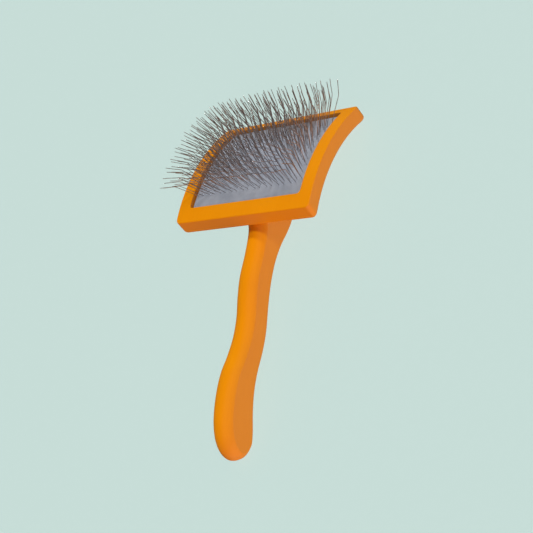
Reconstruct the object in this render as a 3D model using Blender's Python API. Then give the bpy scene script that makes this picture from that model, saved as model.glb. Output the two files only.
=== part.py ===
"""Slicker brush: a curved wooden head on a shaped plank handle, with a cushioned pad of bent wire pins.

The brush lies on its back, pins up. X is across the head, +Y runs from the handle's end towards
the head, and Z = 0 is the surface that the brush rests on. Everything is in metres.
"""
import math

import bmesh
import bpy
from mathutils import Vector

# Head: a bent slab of even thickness, with a pocket milled in its outer (pin) side
HEAD_WIDTH = 0.115
HEAD_ARC = 0.088               # length along the outer face
HEAD_RADIUS = 0.122            # bend radius of the outer face
HEAD_THICKNESS = 0.011
HEAD_TILT = math.radians(20.4)   # the middle of the outer face leans this far towards the far end
HEAD_HEIGHT = 0.0338           # middle of the outer face above the ground
HEAD_AHEAD = 0.0719            # middle of the outer face ahead of the middle of the whole brush
BACK_EDGE_RADIUS = 0.0035
CORNER_RADIUS = 0.003
FRONT_EDGE_RADIUS = 0.0006
RIM_SIDE = 0.0098              # rim width along the sides
RIM_NEAR = 0.0100              # rim width at the end over the handle
RIM_FAR = 0.0055               # rim width at the far end
POCKET_CORNER_RADIUS = 0.0025
ARC_STEPS = 20

# Layers in the pocket, as depths below the outer face
FACE_TOP = 0.0022
FACE_BOTTOM = 0.0030
BACKING_TOP = 0.0033
BACKING_BOTTOM = 0.0046
FOAM_TOP = 0.0049
FOAM_BOTTOM = 0.0070
POCKET_DEPTH = 0.0073
GAP = 0.0003                   # clearance between pieces that touch
PAD_CHAMFER = 0.0018

# Pins: rows of wire staples, each with two legs that fan out from the pad and bend back near the tip
WIRE = 0.0004
ROWS = 22
FIRST_ROW = -0.0240            # along the outer face from its middle, at the pad's surface
LAST_ROW = 0.0290
STAPLES_PER_ROW = 9
STAPLE_PITCH = 0.0101
STAPLE_WIDTH = 0.0040
ROW_SHIFTS = (-3, 3, -1, 1)    # of successive rows, in sixteenths of a pitch
STRAIGHT_LENGTH = 0.0182       # from the pad to the bend
TIP_LENGTH = 0.0112
BEND_ANGLE = math.radians(28)  # back towards the handle
LEAN = math.radians(12)        # of all legs towards the far end
END_SPLAY = math.radians(22)   # further lean of the last row, and back at the near end
SIDE_SPLAY = math.radians(23)  # outward lean of a leg at the pad's side

# Handle: a plank with a crowned front, eased back edges and a round end
HANDLE_THICKNESS = 0.016
CROWN_ANGLE = math.radians(68)   # half angle of the arc across the front
EASED_RADIUS = 0.0018
SEAT_EDGE = 0.0006
SECTION_STEPS = 5
# Side outline, (forward of the head's middle, height) in millimetres
FRONT_LINE = [(-40.5, 30.2), (-43.9, 27.9), (-50, 26.5), (-63, 26.4), (-78, 27.1), (-92, 25.6),
              (-104, 23.4), (-117, 23.1), (-130, 25.2), (-140, 27.7), (-151, 28.6), (-163, 27.9),
              (-173.5, 25.9), (-183, 21.9), (-189.8, 15.8), (-192.6, 8.9)]
BACK_LINE = [(-190.3, 3.6), (-185.8, 0.9), (-180, 0.14), (-173, 1.2), (-161, 4.3),
             (-149, 6.3), (-136.6, 6.6), (-122, 5.3), (-109, 5.4), (-92, 7.7), (-78.4, 8.9),
             (-64.3, 8.6), (-52, 6.3), (-41, 2.5), (-33, 0.4), (-26, 0.14), (-17, 2.3), (-8, 8.3),
             (-2.5, 15.5), (-0.4, 21.6)]
SPLINE_STEPS = 2
SEAT_STEPS = 8
CROWN_FADE = 3                 # back-line points over which the crown fades out at the handle's end

# Wood screws that hold the handle, driven from the pocket's floor
SCREW_ANGLES = (math.radians(-13), math.radians(-5))
SCREW_LENGTH = 0.020
SCREW_HEAD_RADIUS = 0.0035
SCREW_HEAD_HEIGHT = 0.0022
SCREW_HEAD_RIM = 0.0003        # straight edge of the countersunk head
SCREW_SINK = 0.0001            # heads lie this far below the pocket's floor
SCREW_SHANK_RADIUS = 0.0018
SCREW_TIP_LENGTH = 0.004
SCREW_TIP_RADIUS = 0.0005
DRIVE_SLOT_WIDTH = 0.0009
DRIVE_SLOT_DEPTH = 0.0009
ROUND_STEPS = 16

SMOOTH_ANGLE = math.radians(35)
SAME_PLACE = 1e-6              # places closer than this count as one
MM = 0.001

COLOURS = {
    "painted_wood": ((0.84, 0.30, 0.02), 0.38, 0.0),
    "membrane": ((0.30, 0.34, 0.40), 0.62, 0.0),
    "felt": ((0.55, 0.52, 0.46), 0.9, 0.0),
    "foam": ((0.72, 0.66, 0.50), 0.95, 0.0),
    "steel": ((0.32, 0.27, 0.24), 0.3, 1.0),
    "zinc": ((0.62, 0.62, 0.60), 0.35, 1.0),
}

HALF_WIDTH = HEAD_WIDTH / 2
HALF_CHORD = HEAD_RADIUS * math.sin(HEAD_ARC / 2 / HEAD_RADIUS)
POCKET_HALF_X = HALF_WIDTH - RIM_SIDE
POCKET_NEAR = HALF_CHORD - RIM_NEAR
POCKET_FAR = HALF_CHORD - RIM_FAR


def clear_scene():
    for obj in list(bpy.data.objects):
        bpy.data.objects.remove(obj, do_unlink=True)


def material(name):
    """The named finish, made once."""
    found = bpy.data.materials.get(name)
    if found:
        return found
    colour, roughness, metallic = COLOURS[name]
    made = bpy.data.materials.new(name)
    made.use_nodes = True
    shader = made.node_tree.nodes["Principled BSDF"]
    shader.inputs["Base Color"].default_value = (*colour, 1)
    shader.inputs["Roughness"].default_value = roughness
    shader.inputs["Metallic"].default_value = metallic
    return made


def add_empty(name, location, tilt=0.0, parent=None):
    empty = bpy.data.objects.new(name, None)
    empty.location = location
    empty.rotation_euler = (tilt, 0, 0)
    empty.parent = parent
    bpy.context.collection.objects.link(empty)
    return empty


def add_mesh(name, bm, finish, parent, smooth=False):
    """Turn a bmesh into an object under its parent."""
    bmesh.ops.recalc_face_normals(bm, faces=bm.faces)
    mesh = bpy.data.meshes.new(name)
    bm.to_mesh(mesh)
    bm.free()
    if smooth:
        mesh.shade_smooth()
        mesh.set_sharp_from_angle(angle=SMOOTH_ANGLE)
    obj = bpy.data.objects.new(name, mesh)
    obj.parent = parent
    bpy.context.collection.objects.link(obj)
    if finish:
        mesh.materials.append(material(finish))
    else:
        obj.display_type = "WIRE"
        obj.hide_render = True
    return obj


def cut(obj, cutter):
    boolean = obj.modifiers.new("cut_" + cutter.name, "BOOLEAN")
    boolean.operation = "DIFFERENCE"
    boolean.solver = "EXACT"
    boolean.object = cutter


def same(a, b):
    return abs(a - b) < SAME_PLACE


def arc_height(y, depth):
    """Height, at a place along the chord, of the surface a depth below the head's outer face."""
    return math.sqrt((HEAD_RADIUS - depth) ** 2 - y ** 2) - HEAD_RADIUS


def arc_points(depth, start, end, steps):
    """Points (y, z) along that surface."""
    places = [start + (end - start) * i / steps for i in range(steps + 1)]
    return [(y, arc_height(y, depth)) for y in places]


def extrude_outline(outline, half_x):
    """A solid from a closed outline of (y, z) points, extruded across the head."""
    bm = bmesh.new()
    face = bm.faces.new([bm.verts.new((-half_x, y, z)) for y, z in outline])
    moved = bmesh.ops.extrude_face_region(bm, geom=[face])["geom"]
    moved_verts = [item for item in moved if isinstance(item, bmesh.types.BMVert)]
    bmesh.ops.translate(bm, verts=moved_verts, vec=(2 * half_x, 0, 0))
    return bm


def end_corner_edges(bm, half_x, near, far):
    """The four upright edges at the corners of a slab that runs from -near to far."""
    def at_corner(vert):
        return same(abs(vert.co.x), half_x) and (same(vert.co.y, -near) or same(vert.co.y, far))

    def upright(a, b):
        return same(a.co.x, b.co.x) and same(a.co.y, b.co.y)
    return [edge for edge in bm.edges if all(map(at_corner, edge.verts)) and upright(*edge.verts)]


def cut_corners(bm, half_x, near, far, size, segments):
    bmesh.ops.bevel(bm, geom=end_corner_edges(bm, half_x, near, far), offset=size, segments=segments,
                    affect="EDGES", profile=0.5)


def lathe(profile, steps=ROUND_STEPS):
    """A turned solid from (radius, height) points that start and end on the axis."""
    bm = bmesh.new()
    bottom = bm.verts.new((0, 0, profile[0][1]))
    top = bm.verts.new((0, 0, profile[-1][1]))
    rings = []
    for radius, height in profile[1:-1]:
        angles = [2 * math.pi * i / steps for i in range(steps)]
        circle = [(radius * math.cos(a), radius * math.sin(a), height) for a in angles]
        rings.append([bm.verts.new(point) for point in circle])
    for i in range(steps):
        j = (i + 1) % steps
        bm.faces.new((bottom, rings[0][j], rings[0][i]))
        bm.faces.new((top, rings[-1][i], rings[-1][j]))
        for low, high in zip(rings, rings[1:]):
            bm.faces.new((low[i], low[j], high[j], high[i]))
    return bm


# Head

def make_head(frame):
    outer = arc_points(0, -HALF_CHORD, HALF_CHORD, ARC_STEPS)
    inner = arc_points(HEAD_THICKNESS, HALF_CHORD, -HALF_CHORD, ARC_STEPS)
    bm = extrude_outline(outer + inner, HALF_WIDTH)
    weights = bm.edges.layers.float.new("bevel_weight_edge")
    for edge in bm.edges:
        edge[weights] = head_edge_radius(edge) / BACK_EDGE_RADIUS
    head = add_mesh("head_block", bm, "painted_wood", frame, smooth=True)
    rounding = head.modifiers.new("rounding", "BEVEL")
    rounding.limit_method = "WEIGHT"
    rounding.width = BACK_EDGE_RADIUS
    rounding.segments = 3
    cut(head, make_pocket_cutter(frame))
    return head


def head_edge_radius(edge):
    """How far each edge of the bent slab is rounded."""
    a, b = (vert.co for vert in edge.verts)
    on_side = same(abs(a.x), HALF_WIDTH) and same(a.x, b.x)
    on_end = same(abs(a.y), HALF_CHORD) and same(a.y, b.y)
    if on_side and on_end:
        return CORNER_RADIUS
    if not (on_side or on_end):
        return 0
    middle = (a + b) / 2
    halfway = arc_height(middle.y, HEAD_THICKNESS / 2)
    return FRONT_EDGE_RADIUS if middle.z > halfway else BACK_EDGE_RADIUS


def make_pocket_cutter(frame):
    floor = arc_points(POCKET_DEPTH, -POCKET_NEAR, POCKET_FAR, ARC_STEPS)
    above = [(POCKET_FAR, HEAD_THICKNESS), (-POCKET_NEAR, HEAD_THICKNESS)]
    bm = extrude_outline(floor + above, POCKET_HALF_X)
    cut_corners(bm, POCKET_HALF_X, POCKET_NEAR, POCKET_FAR, POCKET_CORNER_RADIUS, 4)
    return add_mesh("pocket_cutter", bm, None, frame)


# Handle

def spline(points, steps):
    """Smooth curve through the points (Catmull-Rom), as vectors."""
    nodes = [Vector(point) for point in points]
    nodes = [2 * nodes[0] - nodes[1]] + nodes + [2 * nodes[-1] - nodes[-2]]
    curve = []
    for before, start, end, after in zip(nodes, nodes[1:], nodes[2:], nodes[3:]):
        for i in range(steps):
            t = i / steps
            curve.append(0.5 * (2 * start + (end - before) * t
                                + (2 * before - 5 * start + 4 * end - after) * t ** 2
                                + (3 * start - before - 3 * end + after) * t ** 3))
    curve.append(nodes[-2])
    return curve


def seat_line():
    """The handle's face under the head, which follows the head's hollow back."""
    radius = (HEAD_RADIUS - HEAD_THICKNESS - GAP) / MM
    middle = Vector((0, HEAD_HEIGHT))
    centre = (middle - HEAD_RADIUS * Vector((math.sin(HEAD_TILT), math.cos(HEAD_TILT)))) / MM
    start = math.asin((BACK_LINE[-1][0] - centre.x) / radius)
    end = math.asin((FRONT_LINE[0][0] - centre.x) / radius)
    angles = [start + (end - start) * i / SEAT_STEPS for i in range(SEAT_STEPS + 1)]
    return [centre + radius * Vector((math.sin(a), math.cos(a))) for a in angles]


def handle_outline():
    """Closed side outline in metres, each point with how crowned and how square the section is there."""
    round_end = (len(FRONT_LINE) - 1) * SPLINE_STEPS
    outline = []
    for i, point in enumerate(spline(FRONT_LINE + BACK_LINE, SPLINE_STEPS)[1:-1], 1):
        crown = 1 - (i - round_end) / (CROWN_FADE * SPLINE_STEPS)
        outline.append((point, min(1.0, max(0.0, crown)), 0.0))
    outline += [(point, 0.0, 1.0) for point in seat_line()]
    return [(point * MM, crown, square) for point, crown, square in outline]


def section(crown, square):
    """Half of a section across the plank: (distance from the middle, inset from the outline)."""
    half = HANDLE_THICKNESS / 2
    arc_radius = half / math.sin(CROWN_ANGLE)
    edge = EASED_RADIUS + (SEAT_EDGE - EASED_RADIUS) * square
    steps = []
    for k in range(SECTION_STEPS + 1):
        t = k / SECTION_STEPS
        angle = CROWN_ANGLE * t
        round_point = arc_radius * Vector((math.sin(angle), 1 - math.cos(angle)))
        turn = math.radians(90) * (k - 1) / (SECTION_STEPS - 1)
        eased_point = Vector((half - edge, 0)) + edge * Vector((math.sin(turn), 1 - math.cos(turn)))
        flat_point = eased_point if k else Vector((0, 0))
        steps.append(flat_point.lerp(round_point, crown))
    return steps


def inward_normals(points):
    normals = []
    count = len(points)
    for i in range(count):
        along = (points[(i + 1) % count] - points[i - 1]).normalized()
        normals.append(Vector((-along.y, along.x)))
    return normals


def make_handle(brush):
    outline = handle_outline()
    points = [point for point, crown, square in outline]
    bm = bmesh.new()
    rings = []
    for (point, crown, square), normal in zip(outline, inward_normals(points)):
        half_section = section(crown, square)
        mirrored = [(-across, inset) for across, inset in reversed(half_section[1:])]
        ring = []
        for across, inset in mirrored + half_section:
            place = point + normal * inset
            ring.append(bm.verts.new((across, HEAD_AHEAD + place.x, place.y)))
        rings.append(ring)
    for ring, following in zip(rings, rings[1:] + rings[:1]):
        for i in range(len(ring) - 1):
            bm.faces.new((ring[i], ring[i + 1], following[i + 1], following[i]))
    bm.faces.new([ring[0] for ring in rings])
    bm.faces.new([ring[-1] for ring in rings])
    return add_mesh("handle", bm, "painted_wood", brush, smooth=True)


# Screws

def screw_profile(gap):
    """Countersunk wood screw, tip first; gap widens it into its hole."""
    shank = SCREW_SHANK_RADIUS + gap
    head = SCREW_HEAD_RADIUS + gap
    tip = -SCREW_LENGTH - gap
    return [(0, tip), (SCREW_TIP_RADIUS + gap, tip), (shank, SCREW_TIP_LENGTH - SCREW_LENGTH),
            (shank, -SCREW_HEAD_HEIGHT - gap), (head, -SCREW_HEAD_RIM), (head, gap), (0, gap)]


def make_screws(frame, head, handle):
    for number, angle in enumerate(SCREW_ANGLES, 1):
        seat = HEAD_RADIUS - POCKET_DEPTH - SCREW_SINK
        place = (0, seat * math.sin(angle), seat * math.cos(angle) - HEAD_RADIUS)
        axis = add_empty(f"screw_axis_{number}", place, -angle, frame)
        hole = add_mesh(f"screw_hole_{number}", lathe(screw_profile(GAP)), None, axis)
        cut(head, hole)
        cut(handle, hole)
        screw = add_mesh(f"handle_screw_{number}", lathe(screw_profile(0)), "zinc", axis, smooth=True)
        bm = bmesh.new()
        bmesh.ops.create_cube(bm, size=1)
        slot = (3 * SCREW_HEAD_RADIUS, DRIVE_SLOT_WIDTH, 2 * DRIVE_SLOT_DEPTH)
        bmesh.ops.scale(bm, verts=bm.verts, vec=slot)
        cut(screw, add_mesh(f"slot_cutter_{number}", bm, None, axis))


# Pad

def row_place(row):
    """How far along the outer face a row stands, at the pad's surface."""
    return FIRST_ROW + row * (LAST_ROW - FIRST_ROW) / (ROWS - 1)


def row_lean(row):
    """Lean of a row's legs from square, towards the far end."""
    return LEAN + END_SPLAY * row_place(row) / LAST_ROW


def leg_splay(across):
    """Outward lean of a leg, from its place across the head."""
    return SIDE_SPLAY * across / POCKET_HALF_X


def leg_places(row):
    """Where the legs of a row stand across the head; four rows fill each other's gaps."""
    middle = STAPLE_PITCH / 16 * ROW_SHIFTS[row % len(ROW_SHIFTS)]
    first = middle - (STAPLES_PER_ROW - 1) * STAPLE_PITCH / 2
    places = []
    for staple in range(STAPLES_PER_ROW):
        centre = first + staple * STAPLE_PITCH
        places += [centre - STAPLE_WIDTH / 2, centre + STAPLE_WIDTH / 2]
    return places


def row_angle(row, depth):
    """Angle round the head's bend at which a row's legs pass a depth below the outer face."""
    back = (depth - FACE_TOP) * math.tan(row_lean(row))
    return row_place(row) / HEAD_RADIUS - back / (HEAD_RADIUS - depth)


def leg_across(row, leg, depth):
    """Place across the head at which a leg passes a depth below the outer face."""
    return leg - (depth - FACE_TOP) * math.tan(leg_splay(leg)) / math.cos(row_lean(row))


def make_foam(frame):
    half_x, near, far = POCKET_HALF_X - GAP, POCKET_NEAR - GAP, POCKET_FAR - GAP
    outline = arc_points(FOAM_TOP, -near, far, ARC_STEPS) + arc_points(FOAM_BOTTOM, far, -near, ARC_STEPS)
    bm = extrude_outline(outline, half_x)
    cut_corners(bm, half_x, near, far, PAD_CHAMFER, 1)
    return add_mesh("foam_cushion", bm, "foam", frame)


def make_backing(pad):
    """Felt ply with a groove under each row, where the staples' crowns lie."""
    half_x, near, far = POCKET_HALF_X - GAP, POCKET_NEAR - GAP, POCKET_FAR - GAP
    groove_half = (WIRE / 2 + GAP) / HEAD_RADIUS
    groove_depth = BACKING_TOP + WIRE + GAP
    top = [(-near, arc_height(-near, BACKING_TOP))]
    for row in range(ROWS):
        for side, depths in ((-1, (BACKING_TOP, groove_depth)), (1, (groove_depth, BACKING_TOP))):
            for depth in depths:
                radius = HEAD_RADIUS - depth
                angle = row_angle(row, BACKING_TOP) + side * groove_half
                top.append((radius * math.sin(angle), radius * math.cos(angle) - HEAD_RADIUS))
    top.append((far, arc_height(far, BACKING_TOP)))
    bm = extrude_outline(top + arc_points(BACKING_BOTTOM, far, -near, ARC_STEPS), half_x)
    cut_corners(bm, half_x, near, far, PAD_CHAMFER, 1)
    return add_mesh("pad_backing", bm, "felt", pad)


def face_lines(depth):
    """Lines of points across the pad at a depth: (angle, places across, starts a row of holes)."""
    half_x = POCKET_HALF_X - GAP
    hole = WIRE / 2 + GAP
    near_angle = -math.asin((POCKET_NEAR - GAP) / (HEAD_RADIUS - depth))
    far_angle = math.asin((POCKET_FAR - GAP) / (HEAD_RADIUS - depth))
    corner_angle = PAD_CHAMFER / HEAD_RADIUS
    narrow = [PAD_CHAMFER - half_x, half_x - PAD_CHAMFER]
    lines = [(near_angle, narrow, False), (near_angle + corner_angle, [-half_x, half_x], False)]
    for row in range(ROWS):
        across = [-half_x]
        for leg in leg_places(row):
            centre = leg_across(row, leg, depth)
            across += [centre - hole, centre + hole]
        across.append(half_x)
        for side in (-1, 1):
            lines.append((row_angle(row, depth) + side * hole / HEAD_RADIUS, across, side < 0))
    lines += [(far_angle - corner_angle, [-half_x, half_x], False), (far_angle, narrow, False)]
    return lines


def bridge(bm, low, high):
    """Triangles between two rows of points that share no stations."""
    i = j = 0
    while i < len(low) - 1 or j < len(high) - 1:
        step_low = j == len(high) - 1 or (i < len(low) - 1 and low[i + 1].co.x <= high[j + 1].co.x)
        if step_low:
            bm.faces.new((low[i], low[i + 1], high[j]))
            i += 1
        else:
            bm.faces.new((low[i], high[j + 1], high[j]))
            j += 1


def make_pad_face(pad):
    """Rubber face with one hole for each leg."""
    bm = bmesh.new()
    lines = face_lines(FACE_TOP)
    sheets = []
    for depth in (FACE_TOP, FACE_BOTTOM):
        radius = HEAD_RADIUS - depth
        sheet = []
        for angle, across, starts_holes in face_lines(depth):
            y, z = radius * math.sin(angle), radius * math.cos(angle) - HEAD_RADIUS
            sheet.append([bm.verts.new((x, y, z)) for x in across])
        sheets.append(sheet)
    for sheet in sheets:
        for (angle, across, starts_holes), low, high in zip(lines, sheet, sheet[1:]):
            if not starts_holes:
                bridge(bm, low, high)
                continue
            for cell in range(0, len(low) - 1, 2):
                bm.faces.new((low[cell], low[cell + 1], high[cell + 1], high[cell]))
    top, bottom = sheets
    for line in range(len(lines) - 1):
        for end in (0, -1):
            bm.faces.new((top[line][end], top[line + 1][end], bottom[line + 1][end], bottom[line][end]))
        if lines[line][2]:
            for cell in range(1, len(top[line]) - 1, 2):
                ring = [(line, cell), (line, cell + 1), (line + 1, cell + 1), (line + 1, cell)]
                for (a, b), (c, d) in zip(ring, ring[1:] + ring[:1]):
                    bm.faces.new((top[a][b], top[c][d], bottom[c][d], bottom[a][b]))
    for line in (0, -1):
        bm.faces.new((top[line][0], top[line][1], bottom[line][1], bottom[line][0]))
    return add_mesh("pad_face", bm, "membrane", pad)


def wire_section(bm, centre, across, along):
    """Square section of a wire."""
    corners = ((-1, -1), (1, -1), (1, 1), (-1, 1))
    return [bm.verts.new(centre + (across * i + along * j) * (WIRE / 2)) for i, j in corners]


def add_leg(bm, row, leg):
    """One bent leg, open where it grows out of its crown; gives its lowest ring."""
    crown_angle = row_angle(row, BACKING_TOP)
    out = Vector((0, math.sin(crown_angle), math.cos(crown_angle)))
    along = Vector((0, math.cos(crown_angle), -math.sin(crown_angle)))
    lean = row_place(row) / HEAD_RADIUS + row_lean(row)
    lean_out = Vector((0, math.sin(lean), math.cos(lean)))
    lean_along = Vector((0, math.cos(lean), -math.sin(lean)))
    sideways = Vector((1, 0, 0))
    splay = leg_splay(leg)
    way = lean_out * math.cos(splay) + sideways * math.sin(splay)
    across = sideways * math.cos(splay) - lean_out * math.sin(splay)
    tip_way = way * math.cos(BEND_ANGLE) - lean_along * math.sin(BEND_ANGLE)
    tip_along = lean_along * math.cos(BEND_ANGLE) + way * math.sin(BEND_ANGLE)
    mitre = (lean_along + tip_along).normalized() / math.cos(BEND_ANGLE / 2)
    centre = Vector((0, 0, -HEAD_RADIUS))
    root = centre + out * (HEAD_RADIUS - BACKING_TOP) + sideways * leg_across(row, leg, BACKING_TOP)
    face_angle = row_angle(row, FACE_TOP)
    face_out = Vector((0, math.sin(face_angle), math.cos(face_angle)))
    bend = centre + face_out * (HEAD_RADIUS - FACE_TOP) + sideways * leg + way * STRAIGHT_LENGTH
    tip = bend + tip_way * TIP_LENGTH
    rings = [wire_section(bm, root, sideways, along), wire_section(bm, bend, across, mitre),
             wire_section(bm, tip, across, tip_along)]
    for low, high in zip(rings, rings[1:]):
        for i in range(4):
            j = (i + 1) % 4
            bm.faces.new((low[i], low[j], high[j], high[i]))
    bm.faces.new(rings[-1])
    return rings[0]


def make_pin_row(pad, row):
    """One row of staples: crowns in line under the face, with a bent leg at each end of each."""
    bm = bmesh.new()
    bases = [add_leg(bm, row, leg) for leg in leg_places(row)]
    crown_angle = row_angle(row, BACKING_TOP)
    down = Vector((0, math.sin(crown_angle), math.cos(crown_angle))) * -WIRE
    for left, right in zip(bases, bases[1:]):
        bm.faces.new((left[1], right[0], right[3], left[2]))
    near = [base[i] for base in bases for i in (0, 1)]
    far = [base[i] for base in bases for i in (3, 2)]
    under = [bm.verts.new(side[end].co + down) for side in (near, far) for end in (0, -1)]
    near_first, near_last, far_first, far_last = under
    for side, first, last in ((near, near_first, near_last), (far, far_first, far_last)):
        for a, b in zip(side, side[1:]):
            bm.faces.new((a, b, first))
        bm.faces.new((side[-1], last, first))
    bm.faces.new((near_first, near_last, far_last, far_first))
    bm.faces.new((near[0], far[0], far_first, near_first))
    bm.faces.new((near[-1], far[-1], far_last, near_last))
    return add_mesh(f"pin_row_{row + 1:02d}", bm, "steel", pad)


def build():
    clear_scene()
    brush = add_empty("brush", (0, 0, 0))
    head_frame = add_empty("head_frame", (0, HEAD_AHEAD, HEAD_HEIGHT), -HEAD_TILT, brush)
    pad_slide = add_empty("pad_slide", (0, 0, 0), 0, head_frame)
    head = make_head(head_frame)
    handle = make_handle(brush)
    make_screws(head_frame, head, handle)
    make_foam(head_frame)
    make_backing(pad_slide)
    make_pad_face(pad_slide)
    for row in range(ROWS):
        make_pin_row(pad_slide, row)


build()
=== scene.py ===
"""Looks of the slicker brush: satin painted wood, a rubber pad on foam, and fans of bent wire pins.

Lengths are in metres, in the row frame: X across the head, +Y from the handle's end towards the
head, +Z up. Head places are (x, y, depth): y along the head's chord, depth below its outer face.
"""
import math
import random

import bmesh
import bpy
import numpy as np
from mathutils import Matrix, Vector


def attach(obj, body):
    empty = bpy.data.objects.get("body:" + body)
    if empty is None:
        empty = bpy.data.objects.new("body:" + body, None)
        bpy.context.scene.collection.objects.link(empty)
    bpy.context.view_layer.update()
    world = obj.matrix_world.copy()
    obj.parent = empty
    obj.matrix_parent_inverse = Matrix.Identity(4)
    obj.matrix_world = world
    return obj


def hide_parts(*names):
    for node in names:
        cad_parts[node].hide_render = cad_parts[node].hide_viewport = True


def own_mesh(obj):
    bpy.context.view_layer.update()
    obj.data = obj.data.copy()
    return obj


MM = 0.001

# Head and pocket, as in the CAD source
HEAD_WIDTH = 0.115
HEAD_ARC = 0.088
HEAD_RADIUS = 0.122
HEAD_THICKNESS = 0.011
HEAD_TILT = math.radians(20.4)
HEAD_HEIGHT = 0.0338
HEAD_AHEAD = 0.0719
RIM_SIDE = 0.0098
RIM_NEAR = 0.0100
RIM_FAR = 0.0055
POCKET_DEPTH = 0.0073
HALF_WIDTH = HEAD_WIDTH / 2
HALF_CHORD = HEAD_RADIUS * math.sin(HEAD_ARC / 2 / HEAD_RADIUS)
POCKET_HALF_X = HALF_WIDTH - RIM_SIDE
POCKET_HALF_Y = HALF_CHORD - (RIM_NEAR + RIM_FAR) / 2
POCKET_SHIFT = (RIM_NEAR - RIM_FAR) / 2   # of the pocket's middle towards the far end
GAP = 0.0003

# Softened edges of the painted head
BACK_EDGE_RADIUS = 0.0035
FRONT_EDGE_RADIUS = 0.0006
LIP_RADIUS = 0.0005
CORNER_RADIUS = 0.0030
POCKET_CORNER_RADIUS = 0.0025
EDGE_STEPS = 5

# Layers of the pad, as depths below the head's outer face
FACE_TOP = 0.0022
BACKING_TOP = 0.0033
BACKING_BOTTOM = 0.0046
FOAM_TOP = 0.0049
FOAM_BOTTOM = 0.0070

# Pins, as in the CAD source
WIRE_RADIUS = 0.0002
ROWS = 22
FIRST_ROW = -0.0240
LAST_ROW = 0.0290
STAPLES_PER_ROW = 9
STAPLE_PITCH = 0.0101
STAPLE_WIDTH = 0.0040
ROW_SHIFTS = (-3, 3, -1, 1)
STRAIGHT_LENGTH = 0.0182
TIP_LENGTH = 0.0112
BEND_ANGLE = math.radians(28)
LEAN = math.radians(12)
END_SPLAY = math.radians(22)
SIDE_SPLAY = math.radians(23)

# Handle, as in the CAD source; the lines are (forward of the head's middle, height) in millimetres
HANDLE_THICKNESS = 0.016
CROWN_ANGLE = math.radians(68)
EASED_RADIUS = 0.0018
SEAT_EDGE = 0.0006
FRONT_LINE = [(-40.5, 30.2), (-43.9, 27.9), (-50, 26.5), (-63, 26.4), (-78, 27.1), (-92, 25.6),
              (-104, 23.4), (-117, 23.1), (-130, 25.2), (-140, 27.7), (-151, 28.6), (-163, 27.9),
              (-173.5, 25.9), (-183, 21.9), (-189.8, 15.8), (-192.6, 8.9)]
BACK_LINE = [(-190.3, 3.6), (-185.8, 0.9), (-180, 0.14), (-173, 1.2), (-161, 4.3),
             (-149, 6.3), (-136.6, 6.6), (-122, 5.3), (-109, 5.4), (-92, 7.7), (-78.4, 8.9),
             (-64.3, 8.6), (-52, 6.3), (-41, 2.5), (-33, 0.4), (-26, 0.14), (-17, 2.3), (-8, 8.3),
             (-2.5, 15.5), (-0.4, 21.6)]
CROWN_FADE = 3
SPLINE_STEPS = 8
SEAT_STEPS = 16
SECTION_STEPS = 16

# Camera
CAMERA_PLACE = (0.5698, -0.23635, 0.59106)
CAMERA_RIGHT = (0.73904891, 0.17232444, -0.65123805)
CAMERA_UP = (0.06774458, 0.94281555, 0.32635795)
CAMERA_LENS = 89.22      # millimetres, as is the sensor
CAMERA_SENSOR = 36
CAMERA_CLIP = 0.01

# Shapes finer than in the CAD model
CORNER_STEPS = 6
SIDE_STEPS = 64
RIM_STEPS = 6
FOAM_STEPS = 4
FOAM_BULGE = 0.0008
SMOOTH_ANGLE = math.radians(60)
CREASE_ANGLE = math.radians(14)
LARGE_FACE_WEIGHT = 100
PAD_STEPS_X = 210
PAD_STEPS_Y = 156
PAD_CORNER_RADIUS = 0.0022
PAD_TOP = 0.0021               # depth of the skin between the dimples
PAD_ROLL_WIDTH = 0.0032
PAD_ROLL_DROP = 0.0013
PAD_WAVE = 0.00012
PAD_WAVE_TURNS = (91, 133)     # radians per metre along X and Y
PAD_WAVE_START = 1.3
DIMPLE_DEPTH = 0.00016
DIMPLE_RADIUS = 0.0007
WIRE_SIDES = 8
WIRE_ANGLES = [2 * math.pi * k / WIRE_SIDES for k in range(WIRE_SIDES)]
DOME_HEIGHT = 0.5              # of a wire's end, in wire radii
DOME_WIDTH = 0.6

# Each wire is a little off, by these standard deviations
LEAN_JITTER = math.radians(0.9)
SPLAY_JITTER = math.radians(1.0)
BEND_JITTER = math.radians(1.6)
TWIST_JITTER = math.radians(4)
LENGTH_JITTER = 0.00025
BOW = 0.0001
SEED = 7
BEND_REACH = 0.0012            # from where a bend starts to its corner
BEND_STEPS = 5
# Wires knocked out of line: (row, staple, leg): (further splay, further lean)
STRAYS = {(5, 7, 1): (math.radians(-13), 0), (8, 8, 0): (math.radians(10), 0),
          (11, 7, 0): (0, math.radians(-9)), (14, 8, 1): (math.radians(7), math.radians(-7))}

# Looks
NOISE_LOW, NOISE_HIGH = 0.3, 0.7   # where nearly all of a noise texture's values lie
HEAD_GRAIN = (900, 60, 900)        # grain runs along Y, so it is stretched there
HANDLE_GRAIN = (900, 45, 900)
WIRE_GRAIN = (6000, 6000, 300)
PAINT_DEEP = (0.76, 0.262, 0.0008)
PAINT_LIGHT = (0.80, 0.290, 0.0012)
PAD_DEEP = (0.238, 0.278, 0.362)
PAD_LIGHT = (0.355, 0.394, 0.485)
WIRE_DEEP = (0.22, 0.194, 0.188)
WIRE_LIGHT = (0.62, 0.570, 0.575)
ZINC_DEEP = (0.45, 0.45, 0.43)
ZINC_LIGHT = (0.72, 0.72, 0.70)
FOAM_WALL = (0.74, 0.66, 0.46)
FOAM_CELL = (0.42, 0.36, 0.24)
FLOOR_COLOUR = (0.114, 0.143, 0.140)
FLOOR_FLECK = 0.985                # how dark the floor's fibres are, against the rest
FLOOR_HALF = 3.0
FLOOR_DROP = 0.0001                # keeps the floor clear of the brush

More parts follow.
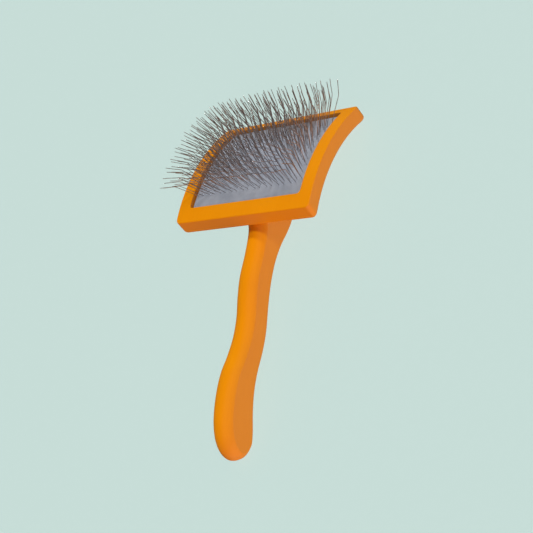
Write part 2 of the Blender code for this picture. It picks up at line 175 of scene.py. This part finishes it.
# The room lights the brush from one side and is dark on the other, but is seen as pale as the floor
ROOM_SEEN = (0.571, 0.716, 0.680)
ROOM_BRIGHT = (0.54, 0.45, 0.39)
ROOM_GLOW = (0.54, 0.37, 0.22)     # of the bright side, as matt surfaces see it
ROOM_DARK = (0.12, 0.07, 0.03)
DARK_SIDE = (-0.94, 0.33, 0.09)
DARK_FROM, DARK_TO = -0.20, 0.22   # cosine of the angle from the dark side's middle

# Name, direction towards the light, strength, angular size in degrees, colour, what it shines on,
# what casts its shadows, and whether it lights surfaces or only glints on them
WHITE = (1.0, 1.03, 1.01)
WARM = (1.0, 0.45, 0.38)
SUNS = [("key", (-0.28, 0.52, 0.81), 1.38, 5, WHITE, "all_but_floor", "wood_and_pad", "diffuse"),
        ("second_key", (0.20, 0.28, 0.94), 1.30, 9, WHITE, "all_but_floor", "all_but_floor", "diffuse"),
        ("glint", (0.03, 0.41, 0.91), 2.8, 12, WHITE, "pins", "all_but_floor", "glossy"),
        ("fill", (0.50, -0.85, -0.18), 1.62, 60, WARM, "all_but_floor", "all_but_floor", "diffuse"),
        ("floor_wash", (0.0, 0.0, 1.0), 15.0, 0, WHITE, "floor", "floor", "diffuse")]

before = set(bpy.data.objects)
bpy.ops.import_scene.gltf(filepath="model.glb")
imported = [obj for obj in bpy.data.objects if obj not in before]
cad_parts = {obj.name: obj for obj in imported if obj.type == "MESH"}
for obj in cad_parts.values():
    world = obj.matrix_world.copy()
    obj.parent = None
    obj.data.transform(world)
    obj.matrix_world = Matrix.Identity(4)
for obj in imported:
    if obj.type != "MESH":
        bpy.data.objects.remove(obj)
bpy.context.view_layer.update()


# Node helpers

def new_material(name):
    made = bpy.data.materials.new(name)
    made.use_nodes = True
    return made, made.node_tree, made.node_tree.nodes["Principled BSDF"]


def mapped(tree, scale=(1, 1, 1)):
    """The object's own coordinates, stretched."""
    place = tree.nodes.new("ShaderNodeTexCoord")
    mapping = tree.nodes.new("ShaderNodeMapping")
    mapping.inputs["Scale"].default_value = scale
    tree.links.new(place.outputs["Object"], mapping.inputs["Vector"])
    return mapping.outputs["Vector"]


def noise(tree, vector, scale, detail=3.0, roughness=0.5):
    made = tree.nodes.new("ShaderNodeTexNoise")
    made.inputs["Scale"].default_value = scale
    made.inputs["Detail"].default_value = detail
    made.inputs["Roughness"].default_value = roughness
    tree.links.new(vector, made.inputs["Vector"])
    return made.outputs["Fac"]


def remap(tree, value, low, high, to_low, to_high):
    made = tree.nodes.new("ShaderNodeMapRange")
    for name, number in (("From Min", low), ("From Max", high),
                         ("To Min", to_low), ("To Max", to_high)):
        made.inputs[name].default_value = number
    tree.links.new(value, made.inputs["Value"])
    return made.outputs["Result"]


def noise_range(tree, value, to_low, to_high):
    """A noise texture's value, spread over a range of its own."""
    return remap(tree, value, NOISE_LOW, NOISE_HIGH, to_low, to_high)


def maths(tree, operation, first, second=0.0):
    made = tree.nodes.new("ShaderNodeMath")
    made.operation = operation
    for socket, value in zip(made.inputs, (first, second)):
        if isinstance(value, bpy.types.NodeSocket):
            tree.links.new(value, socket)
        else:
            socket.default_value = value
    return made.outputs["Value"]


def mixed(tree, factor, first, second):
    """A colour between two others."""
    made = tree.nodes.new("ShaderNodeMix")
    made.data_type = "RGBA"
    sockets = [s for s in made.inputs if s.enabled]
    for socket, value in zip(sockets, (factor, first, second)):
        if isinstance(value, bpy.types.NodeSocket):
            tree.links.new(value, socket)
        else:
            socket.default_value = (*value, 1) if isinstance(value, tuple) else value
    return next(s for s in made.outputs if s.enabled)


def bumped(tree, height, strength, distance, before=None):
    made = tree.nodes.new("ShaderNodeBump")
    made.inputs["Strength"].default_value = strength
    made.inputs["Distance"].default_value = distance
    tree.links.new(height, made.inputs["Height"])
    if before:
        tree.links.new(before, made.inputs["Normal"])
    return made.outputs["Normal"]


# Materials

def painted_wood(name, grain_scale):
    """Satin lacquer over wood: the grain shows only as faint ridges and a slight change of tone."""
    made, tree, shader = new_material(name)
    grain = noise(tree, mapped(tree, grain_scale), scale=1.0, detail=6.0, roughness=0.55)
    clouds = noise(tree, mapped(tree), scale=38.0, detail=3.0)
    speck = noise(tree, mapped(tree), scale=2600.0, detail=2.0)
    tone = maths(tree, "ADD", noise_range(tree, grain, 0.0, 0.4), noise_range(tree, clouds, 0.0, 0.6))
    tree.links.new(mixed(tree, tone, PAINT_DEEP, PAINT_LIGHT), shader.inputs["Base Color"])
    tree.links.new(noise_range(tree, speck, 0.34, 0.42), shader.inputs["Roughness"])
    ridges = bumped(tree, grain, strength=0.04, distance=0.0002)
    tree.links.new(bumped(tree, speck, strength=0.08, distance=0.00005, before=ridges),
                   shader.inputs["Normal"])
    return made


def pad_rubber():
    """Rubberised cloth: a fine weave under a matt blue-grey skin, with dusty smudges."""
    made, tree, shader = new_material("pad_rubber_skin")
    vector = mapped(tree)
    smudge = noise(tree, vector, scale=210.0, detail=4.0, roughness=0.6)
    wide = noise(tree, vector, scale=45.0, detail=2.0)
    tone = maths(tree, "ADD", remap(tree, smudge, 0.35, 0.75, 0.0, 0.5),
                 noise_range(tree, wide, 0.0, 0.5))
    tree.links.new(mixed(tree, tone, PAD_DEEP, PAD_LIGHT), shader.inputs["Base Color"])
    waves = []
    for axis in ("X", "Y"):
        wave = tree.nodes.new("ShaderNodeTexWave")
        wave.bands_direction = axis
        wave.inputs["Scale"].default_value = 700.0
        wave.inputs["Distortion"].default_value = 0.6
        tree.links.new(vector, wave.inputs["Vector"])
        waves.append(wave.outputs["Fac"])
    threads = bumped(tree, maths(tree, "MAXIMUM", *waves), strength=0.25, distance=0.00008)
    tree.links.new(bumped(tree, smudge, strength=0.2, distance=0.0002, before=threads),
                   shader.inputs["Normal"])
    tree.links.new(noise_range(tree, smudge, 0.55, 0.72), shader.inputs["Roughness"])
    shader.inputs["Sheen Weight"].default_value = 0.25
    shader.inputs["Sheen Roughness"].default_value = 0.5
    return made


def pin_steel():
    """Drawn wire: dark steel with fine lines and a brownish cast that varies from pin to pin."""
    made, tree, shader = new_material("pin_wire")
    shader.inputs["Metallic"].default_value = 1.0
    cast = noise(tree, mapped(tree), scale=420.0, detail=2.0)
    tree.links.new(mixed(tree, noise_range(tree, cast, 0.0, 1.0), WIRE_DEEP, WIRE_LIGHT),
                   shader.inputs["Base Color"])
    lines = noise(tree, mapped(tree, WIRE_GRAIN), scale=1.0, detail=2.0)
    tree.links.new(noise_range(tree, lines, 0.26, 0.42), shader.inputs["Roughness"])
    tree.links.new(bumped(tree, lines, strength=0.15, distance=0.00002), shader.inputs["Normal"])
    return made


def zinc_plate():
    """Plated screws: grey metal with a faint spangle."""
    made, tree, shader = new_material("zinc_plate")
    shader.inputs["Metallic"].default_value = 1.0
    spangle = noise(tree, mapped(tree), scale=900.0, detail=3.0)
    tree.links.new(mixed(tree, spangle, ZINC_DEEP, ZINC_LIGHT), shader.inputs["Base Color"])
    tree.links.new(noise_range(tree, spangle, 0.28, 0.45), shader.inputs["Roughness"])
    tree.links.new(bumped(tree, spangle, strength=0.1, distance=0.00005), shader.inputs["Normal"])
    return made


def open_foam():
    """Foam rubber with open cells."""
    made, tree, shader = new_material("open_foam")
    cells = tree.nodes.new("ShaderNodeTexVoronoi")
    cells.inputs["Scale"].default_value = 1300.0
    tree.links.new(mapped(tree), cells.inputs["Vector"])
    depth = cells.outputs["Distance"]
    tree.links.new(mixed(tree, depth, FOAM_WALL, FOAM_CELL), shader.inputs["Base Color"])
    tree.links.new(bumped(tree, depth, strength=0.8, distance=0.0004), shader.inputs["Normal"])
    shader.inputs["Roughness"].default_value = 0.92
    return made


def backdrop_paper():
    """Matt paper with faint fibres."""
    made, tree, shader = new_material("backdrop_paper")
    fibre = noise(tree, mapped(tree), scale=160.0, detail=4.0)
    fleck = tuple(FLOOR_FLECK * c for c in FLOOR_COLOUR)
    tree.links.new(mixed(tree, fibre, fleck, FLOOR_COLOUR), shader.inputs["Base Color"])
    shader.inputs["Roughness"].default_value = 0.95
    shader.inputs["Specular IOR Level"].default_value = 0.1
    return made


# Mesh helpers

def head_matrix():
    """From the head's frame, with its origin on the outer face's middle, to the row frame."""
    return Matrix.Translation((0, HEAD_AHEAD, HEAD_HEIGHT)) @ Matrix.Rotation(-HEAD_TILT, 4, "X")


def bent(x, y, depth):
    """Place in the head's frame of a point a depth below the outer face."""
    return Vector((x, y, math.sqrt((HEAD_RADIUS - depth) ** 2 - y ** 2) - HEAD_RADIUS))


def add_piece(name, bm, finish, matrix=None, smooth_angle=None):
    """A mesh object from a bmesh, in the row frame."""
    bmesh.ops.recalc_face_normals(bm, faces=bm.faces)
    mesh = bpy.data.meshes.new(name)
    bm.to_mesh(mesh)
    bm.free()
    if matrix:
        mesh.transform(matrix)
    mesh.shade_smooth()
    if smooth_angle:
        mesh.set_sharp_from_angle(angle=smooth_angle)
    mesh.materials.append(finish)
    piece = bpy.data.objects.new(name, mesh)
    bpy.context.scene.collection.objects.link(piece)
    return piece


def even_normals(piece):
    """Large faces keep their own normals, so that only the rounded edges shade as rounded."""
    weighted = piece.modifiers.new("even_normals", "WEIGHTED_NORMAL")
    weighted.keep_sharp = True
    weighted.weight = LARGE_FACE_WEIGHT


def rounded_loop(half_x, half_y, radius):
    """Points round a rectangle with round corners, the two long runs along Y first and third."""
    corners = ((1, 1), (-1, 1), (-1, -1), (1, -1))
    points = []
    for quarter, (side_x, side_y) in enumerate(corners):
        centre = Vector((side_x * (half_x - radius), side_y * (half_y - radius)))
        for step in range(CORNER_STEPS + 1):
            angle = math.radians(90) * (quarter + step / CORNER_STEPS)
            points.append(centre + radius * Vector((math.cos(angle), math.sin(angle))))
        if quarter in (1, 3):
            start, end = points[-1], Vector((points[-1].x, -points[-1].y))
            points += [start.lerp(end, step / SIDE_STEPS) for step in range(1, SIDE_STEPS)]
    return points


def add_loops(bm, loops):
    """Rings of quads through bent loops: (half_x, half_y, shift in y, corner radius, depth)."""
    rings = []
    for half_x, half_y, shift, radius, depth in loops:
        points = rounded_loop(half_x, half_y, radius)
        rings.append([bm.verts.new(bent(p.x, p.y + shift, depth)) for p in points])
    for ring, following in zip(rings, rings[1:]):
        for i in range(len(ring)):
            j = (i + 1) % len(ring)
            bm.faces.new((ring[i], ring[j], following[j], following[i]))
    return rings


def fill_loop(bm, ring):
    """Strips across X that close a loop."""
    left_start = CORNER_STEPS + 1
    left_end = left_start + len(ring) // 2
    left = ring[left_start:left_end]
    right = (ring[left_end:] + ring[:left_start])[::-1]
    for (a, b), (c, d) in zip(zip(left, left[1:]), zip(right, right[1:])):
        bm.faces.new((a, b, d, c))


# Head

def make_head(finish):
    """The bent slab as one skin: pocket floor, wall, soft lip, rim, outer wall and rounded back."""
    bm = bmesh.new()
    turns = [math.radians(90) * step / EDGE_STEPS for step in range(EDGE_STEPS + 1)]
    loops = [(POCKET_HALF_X, POCKET_HALF_Y, POCKET_SHIFT, POCKET_CORNER_RADIUS, POCKET_DEPTH)]
    for t in turns:
        out = LIP_RADIUS * (1 - math.cos(t))
        loops.append((POCKET_HALF_X + out, POCKET_HALF_Y + out, POCKET_SHIFT,
                      POCKET_CORNER_RADIUS + out, LIP_RADIUS * (1 - math.sin(t))))
    inner = loops[-1]
    outer = (HALF_WIDTH - FRONT_EDGE_RADIUS, HALF_CHORD - FRONT_EDGE_RADIUS, 0.0, CORNER_RADIUS, 0.0)
    for step in range(1, RIM_STEPS):
        loops.append(tuple(a + (b - a) * step / RIM_STEPS for a, b in zip(inner, outer)))
    for t in turns:
        inset = FRONT_EDGE_RADIUS * (1 - math.sin(t))
        loops.append((HALF_WIDTH - inset, HALF_CHORD - inset, 0.0, CORNER_RADIUS,
                      FRONT_EDGE_RADIUS * (1 - math.cos(t))))
    for t in turns:
        inset = BACK_EDGE_RADIUS * (1 - math.cos(t))
        loops.append((HALF_WIDTH - inset, HALF_CHORD - inset, 0.0, CORNER_RADIUS,
                      HEAD_THICKNESS - BACK_EDGE_RADIUS * (1 - math.sin(t))))
    rings = add_loops(bm, loops)
    fill_loop(bm, rings[0])
    fill_loop(bm, rings[-1])
    head = add_piece("painted_head", bm, finish, head_matrix(), SMOOTH_ANGLE)
    even_normals(head)
    return head


# Handle

def spline(points, steps):
    """Smooth curve through the points (Catmull-Rom), as vectors."""
    nodes = [Vector(point) for point in points]
    nodes = [2 * nodes[0] - nodes[1]] + nodes + [2 * nodes[-1] - nodes[-2]]
    curve = []
    for before, start, end, after in zip(nodes, nodes[1:], nodes[2:], nodes[3:]):
        for i in range(steps):
            t = i / steps
            curve.append(0.5 * (2 * start + (end - before) * t
                                + (2 * before - 5 * start + 4 * end - after) * t ** 2
                                + (3 * start - before - 3 * end + after) * t ** 3))
    curve.append(nodes[-2])
    return curve


def seat_line():
    """The handle's face under the head, which follows the head's hollow back."""
    radius = (HEAD_RADIUS - HEAD_THICKNESS - GAP) / MM
    middle = Vector((0, HEAD_HEIGHT))
    centre = (middle - HEAD_RADIUS * Vector((math.sin(HEAD_TILT), math.cos(HEAD_TILT)))) / MM
    start = math.asin((BACK_LINE[-1][0] - centre.x) / radius)
    end = math.asin((FRONT_LINE[0][0] - centre.x) / radius)
    angles = [start + (end - start) * i / SEAT_STEPS for i in range(SEAT_STEPS + 1)]
    return [centre + radius * Vector((math.sin(a), math.cos(a))) for a in angles]


def handle_outline():
    """Closed side outline, each point with how crowned and how square the section is there."""
    round_end = (len(FRONT_LINE) - 1) * SPLINE_STEPS
    outline = []
    for i, point in enumerate(spline(FRONT_LINE + BACK_LINE, SPLINE_STEPS)[1:-1], 1):
        crown = 1 - (i - round_end) / (CROWN_FADE * SPLINE_STEPS)
        outline.append((point, min(1.0, max(0.0, crown)), 0.0))
    outline += [(point, 0.0, 1.0) for point in seat_line()]
    return [(point * MM, crown, square) for point, crown, square in outline]


def section(crown, square):
    """Half of a section across the plank: (distance from the middle, inset from the outline)."""
    half = HANDLE_THICKNESS / 2
    arc_radius = half / math.sin(CROWN_ANGLE)
    edge = EASED_RADIUS + (SEAT_EDGE - EASED_RADIUS) * square
    steps = []
    for k in range(SECTION_STEPS + 1):
        angle = CROWN_ANGLE * k / SECTION_STEPS
        round_point = arc_radius * Vector((math.sin(angle), 1 - math.cos(angle)))
        turn = math.radians(90) * (k - 1) / (SECTION_STEPS - 1)
        eased_point = Vector((half - edge, 0)) + edge * Vector((math.sin(turn), 1 - math.cos(turn)))
        flat_point = eased_point if k else Vector((0, 0))
        steps.append(flat_point.lerp(round_point, crown))
    return steps


def make_handle(finish):
    """The plank: its section swept round the side outline, and its two flat sides filled."""
    outline = handle_outline()
    count = len(outline)
    bm = bmesh.new()
    rings = []
    for i, (point, crown, square) in enumerate(outline):
        along = (outline[(i + 1) % count][0] - outline[i - 1][0]).normalized()
        inward = Vector((-along.y, along.x))
        half_section = section(crown, square)
        mirrored = [(-across, inset) for across, inset in reversed(half_section[1:])]
        ring = []
        for across, inset in mirrored + half_section:
            place = point + inward * inset
            ring.append(bm.verts.new((across, HEAD_AHEAD + place.x, place.y)))
        rings.append(ring)
    for ring, following in zip(rings, rings[1:] + rings[:1]):
        for i in range(len(ring) - 1):
            bm.faces.new((ring[i], ring[i + 1], following[i + 1], following[i]))
    bm.faces.new([ring[0] for ring in rings])
    bm.faces.new([ring[-1] for ring in rings])
    handle = add_piece("painted_handle", bm, finish, None, CREASE_ANGLE)
    even_normals(handle)
    return handle


# Pad

def row_place(row):
    """Length round the bend from the head's middle to where a row leaves the pad."""
    return FIRST_ROW + row * (LAST_ROW - FIRST_ROW) / (ROWS - 1)


def row_lean(row):
    """How far a row leans from square to the pad, fanning towards both ends."""
    return LEAN + END_SPLAY * row_place(row) / LAST_ROW


def leg_splay(across):
    """How far a leg splays sideways, more towards the sides."""
    return SIDE_SPLAY * across / POCKET_HALF_X


def row_angle(row, depth):
    """Angle round the head's bend where a row passes a depth."""
    back = (depth - FACE_TOP) * math.tan(row_lean(row))
    return row_place(row) / HEAD_RADIUS - back / (HEAD_RADIUS - depth)


def leg_across(row, leg, depth):
    """Place across the head where a leg passes a depth."""
    return leg - (depth - FACE_TOP) * math.tan(leg_splay(leg)) / math.cos(row_lean(row))


def staple_places(row):
    """The two legs of each staple of a row, as places across the head."""
    middle = STAPLE_PITCH / 16 * ROW_SHIFTS[row % len(ROW_SHIFTS)]
    first = middle - (STAPLES_PER_ROW - 1) * STAPLE_PITCH / 2
    centres = [first + staple * STAPLE_PITCH for staple in range(STAPLES_PER_ROW)]
    return [(centre - STAPLE_WIDTH / 2, centre + STAPLE_WIDTH / 2) for centre in centres]


def pad_roots():
    """Where each leg leaves the pad: (x, y along the chord, from the pocket's middle)."""
    roots = []
    for row in range(ROWS):
        y = (HEAD_RADIUS - FACE_TOP) * math.sin(row_place(row) / HEAD_RADIUS) - POCKET_SHIFT
        roots += [(leg, y) for staple in staple_places(row) for leg in staple]
    return np.array(roots)


def square_to_round(x, y, half_x, half_y, radius):
    """Pulls a point of a rectangle's corner square onto a round corner."""
    a, b = abs(x) - (half_x - radius), abs(y) - (half_y - radius)
    if a <= 0 or b <= 0:
        return x, y
    pull = max(a, b) / math.hypot(a, b)
    return math.copysign(half_x - radius + a * pull, x), math.copysign(half_y - radius + b * pull, y)


def pad_sink(x, y, half_x, half_y, roots):
    """How far the skin lies below its flat level: rolled edges, a dimple at each wire, slow waves."""
    to_wall = min(half_x - abs(x), half_y - abs(y))
    roll = max(0.0, 1 - to_wall / PAD_ROLL_WIDTH)
    sink = PAD_ROLL_DROP * (1 - math.sqrt(1 - roll ** 2))
    away = np.hypot(roots[:, 0] - x, roots[:, 1] - y)
    sink += float(np.sum(DIMPLE_DEPTH * np.exp(-(away / DIMPLE_RADIUS) ** 2)))
    turns_x, turns_y = PAD_WAVE_TURNS
    sink += PAD_WAVE * math.sin(x * turns_x) * math.cos(y * turns_y + PAD_WAVE_START)
    return sink


def make_pad(finish):
    """Rubber skin and felt ply as one cushion, with a rolled edge and a dimple round every wire."""
    bm = bmesh.new()
    half_x, half_y = POCKET_HALF_X - GAP, POCKET_HALF_Y - GAP
    roots = pad_roots()
    across = np.linspace(-half_x, half_x, PAD_STEPS_X + 1)
    along = np.linspace(-half_y, half_y, PAD_STEPS_Y + 1)
    sheets = []
    for level in ("top", "bottom"):
        sheet = []
        for y in along:
            line = []
            for x in across:
                px, py = square_to_round(x, y, half_x, half_y, PAD_CORNER_RADIUS)
                depth = BACKING_BOTTOM
                if level == "top":
                    depth = PAD_TOP + pad_sink(x, y, half_x, half_y, roots)
                line.append(bm.verts.new(bent(px, py + POCKET_SHIFT, depth)))
            sheet.append(line)
        sheets.append(sheet)
    for sheet in sheets:
        for line, following in zip(sheet, sheet[1:]):
            for i in range(PAD_STEPS_X):
                bm.faces.new((line[i], line[i + 1], following[i + 1], following[i]))
    rims = []
    for sheet in sheets:
        near, far = sheet[0], sheet[-1]
        right = [line[-1] for line in sheet[1:]]
        left = [line[0] for line in sheet[-2:0:-1]]
        rims.append(near + right + far[-2::-1] + left)
    for i in range(len(rims[0])):
        j = (i + 1) % len(rims[0])
        bm.faces.new((rims[0][i], rims[0][j], rims[1][j], rims[1][i]))
    return add_piece("rubber_pad", bm, finish, head_matrix(), SMOOTH_ANGLE)


def make_foam(finish):
    """The foam block under the pad, a little bulged at its sides."""
    bm = bmesh.new()
    loops = []
    for step in range(FOAM_STEPS + 1):
        t = step / FOAM_STEPS
        pull = FOAM_BULGE * (2 * t - 1) ** 2
        loops.append((POCKET_HALF_X - GAP - pull, POCKET_HALF_Y - GAP - pull, POCKET_SHIFT,
                      PAD_CORNER_RADIUS, FOAM_TOP + (FOAM_BOTTOM - FOAM_TOP) * t))
    rings = add_loops(bm, loops)
    fill_loop(bm, rings[0])
    fill_loop(bm, rings[-1])
    return add_piece("foam_block", bm, finish, head_matrix(), SMOOTH_ANGLE)


# Pins

def unit_at(angle):
    """Outward direction at an angle round the head's bend."""
    return Vector((0, math.sin(angle), math.cos(angle)))


def leg_path(row, leg, chance, stray):
    """Points of one leg from its crown to its tip, in the head's frame."""
    centre = Vector((0, 0, -HEAD_RADIUS))
    sideways = Vector((1, 0, 0))
    root = (centre + unit_at(row_angle(row, BACKING_TOP)) * (HEAD_RADIUS - BACKING_TOP)
            + sideways * leg_across(row, leg, BACKING_TOP))
    foot = centre + unit_at(row_angle(row, FACE_TOP)) * (HEAD_RADIUS - FACE_TOP) + sideways * leg
    lean = row_place(row) / HEAD_RADIUS + row_lean(row) + chance.gauss(0, LEAN_JITTER) + stray[1]
    splay = leg_splay(leg) + chance.gauss(0, SPLAY_JITTER) + stray[0]
    way = unit_at(lean) * math.cos(splay) + sideways * math.sin(splay)
    lean_along = Vector((0, math.cos(lean), -math.sin(lean)))
    bend_angle = BEND_ANGLE + chance.gauss(0, BEND_JITTER)
    twist = chance.gauss(0, TWIST_JITTER)
    back = (lean_along * math.cos(twist) + sideways * math.sin(twist)).normalized()
    tip_way = way * math.cos(bend_angle) - back * math.sin(bend_angle)
    bend = foot + way * (STRAIGHT_LENGTH + chance.gauss(0, LENGTH_JITTER))
    tip = bend + tip_way * (TIP_LENGTH + chance.gauss(0, LENGTH_JITTER))
    before, after = bend - way * BEND_REACH, bend + tip_way * BEND_REACH
    bow = Vector([chance.gauss(0, BOW) for _ in range(3)])
    points = [root, foot, foot.lerp(before, 0.5) + bow, before]
    for step in range(1, BEND_STEPS):
        t = step / BEND_STEPS
        points.append(before * (1 - t) ** 2 + bend * 2 * t * (1 - t) + after * t ** 2)
    points += [after, after.lerp(tip, 0.5) - bow * 0.5, tip]
    return points


def add_wire(bm, points):
    """A round closed tube along the points, with slightly rounded ends."""
    side = (points[1] - points[0]).orthogonal().normalized()
    sections = []
    for point, before, after in zip(points, points[:1] + points, points[1:] + points[-1:]):
        along = (after - before).normalized()
        side = (side - along * side.dot(along)).normalized()
        other = along.cross(side)
        circle = [(side * math.cos(a) + other * math.sin(a)) * WIRE_RADIUS for a in WIRE_ANGLES]
        dome = along * WIRE_RADIUS * DOME_HEIGHT
        if point is points[0]:
            sections.append([bm.verts.new(point - dome + out * DOME_WIDTH) for out in circle])
        sections.append([bm.verts.new(point + out) for out in circle])
        if point is points[-1]:
            sections.append([bm.verts.new(point + dome + out * DOME_WIDTH) for out in circle])
    for low, high in zip(sections, sections[1:]):
        for i in range(WIRE_SIDES):
            j = (i + 1) % WIRE_SIDES
            bm.faces.new((low[i], low[j], high[j], high[i]))
    bm.faces.new(sections[0])
    bm.faces.new(sections[-1])


def make_pin_row(row, finish):
    """Staples of one row, each one wire with two bent legs that are joined under the skin."""
    chance = random.Random(SEED * 100 + row)
    bm = bmesh.new()
    for number, (left, right) in enumerate(staple_places(row)):
        left_stray = STRAYS.get((row, number, 0), (0, 0))
        right_stray = STRAYS.get((row, number, 1), (0, 0))
        first = leg_path(row, left, chance, left_stray)
        second = leg_path(row, right, chance, right_stray)
        add_wire(bm, first[::-1] + second)
    piece = add_piece(f"wire_pins_{row + 1:02d}", bm, finish, head_matrix())
    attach(piece, "pin_pad")
    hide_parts(f"pin_row_{row + 1:02d}")
    return piece


# Stage

def make_floor(finish):
    """A wide flat floor."""
    bm = bmesh.new()
    bmesh.ops.create_grid(bm, x_segments=2, y_segments=2, size=FLOOR_HALF)
    floor = add_piece("floor", bm, finish)
    floor.location.z = -FLOOR_DROP
    floor.visible_glossy = False
    return floor


def make_room():
    """Surroundings that light the scene: bright, except for a dark side."""
    world = bpy.data.worlds.new("studio")
    world.use_nodes = True
    tree = world.node_tree
    place = tree.nodes.new("ShaderNodeTexCoord")
    towards = tree.nodes.new("ShaderNodeVectorMath")
    towards.operation = "DOT_PRODUCT"
    towards.inputs[1].default_value = DARK_SIDE
    tree.links.new(place.outputs["Generated"], towards.inputs[0])
    darkness = remap(tree, towards.outputs["Value"], DARK_FROM, DARK_TO, 0.0, 1.0)
    ray = tree.nodes.new("ShaderNodeLightPath")
    bright = mixed(tree, ray.outputs["Is Diffuse Ray"], ROOM_BRIGHT, ROOM_GLOW)
    colour = mixed(tree, darkness, bright, ROOM_DARK)
    colour = mixed(tree, ray.outputs["Is Camera Ray"], colour, ROOM_SEEN)
    tree.links.new(colour, tree.nodes["Background"].inputs["Color"])
    bpy.context.scene.world = world


def light_group(name, pieces, exclude=False):
    """A collection that says what a light shines on: only these pieces, or all but these."""
    group = bpy.data.collections.new(name)
    for piece in pieces:
        group.objects.link(piece)
    if exclude:
        for member in group.collection_objects:
            member.light_linking.link_state = "EXCLUDE"
    return group


def make_lights(floor, pins):
    """The suns, each with its own receivers and shadow casters."""
    groups = {"floor": light_group("floor", [floor]), "pins": light_group("pins", pins),
              "all_but_floor": light_group("all_but_floor", [floor], exclude=True),
              "wood_and_pad": light_group("wood_and_pad", [floor] + pins, exclude=True)}
    for name, towards, strength, spread, colour, shines_on, shadows_from, how in SUNS:
        light = bpy.data.lights.new(name, "SUN")
        light.energy = strength
        light.angle = math.radians(spread)
        light.color = colour
        lamp = bpy.data.objects.new(name, light)
        lamp.rotation_mode = "QUATERNION"
        lamp.rotation_quaternion = Vector(towards).to_track_quat("Z", "Y")
        bpy.context.scene.collection.objects.link(lamp)
        lamp.light_linking.receiver_collection = groups[shines_on]
        lamp.visible_glossy = how == "glossy"
        lamp.visible_diffuse = how == "diffuse"
        lamp.light_linking.blocker_collection = groups[shadows_from]
    bpy.context.scene.view_settings.view_transform = "Standard"


def make_camera():
    lens = bpy.data.cameras.new("camera")
    lens.sensor_width = CAMERA_SENSOR
    lens.lens = CAMERA_LENS
    lens.clip_start = CAMERA_CLIP
    camera = bpy.data.objects.new("camera", lens)
    right, up = Vector(CAMERA_RIGHT), Vector(CAMERA_UP)
    turn = Matrix((right, up, right.cross(up))).transposed()
    camera.matrix_world = Matrix.Translation(CAMERA_PLACE) @ turn.to_4x4()
    bpy.context.scene.collection.objects.link(camera)
    bpy.context.scene.camera = camera


def build():
    wood_head = painted_wood("painted_wood_head", HEAD_GRAIN)
    wood_handle = painted_wood("painted_wood_handle", HANDLE_GRAIN)
    rubber, wire, foam = pad_rubber(), pin_steel(), open_foam()
    head = make_head(wood_head)
    handle = make_handle(wood_handle)
    block = make_foam(foam)
    pad = make_pad(rubber)
    for piece, slot, node in ((head, "painted_wood", "head_block"),
                              (handle, "painted_wood", "handle"), (block, "foam", "foam_cushion")):
        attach(piece, "brush_body")
        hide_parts(node)
    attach(pad, "pin_pad")
    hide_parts("pad_face", "pad_backing")
    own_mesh(block)
    pins = [make_pin_row(row, wire) for row in range(ROWS)]
    zinc = zinc_plate()
    for name in ("handle_screw_1", "handle_screw_2"):
        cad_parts[name].data.materials.clear()
        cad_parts[name].data.materials.append(zinc)
    floor = make_floor(backdrop_paper())
    make_room()
    make_lights(floor, pins)
    make_camera()


build()
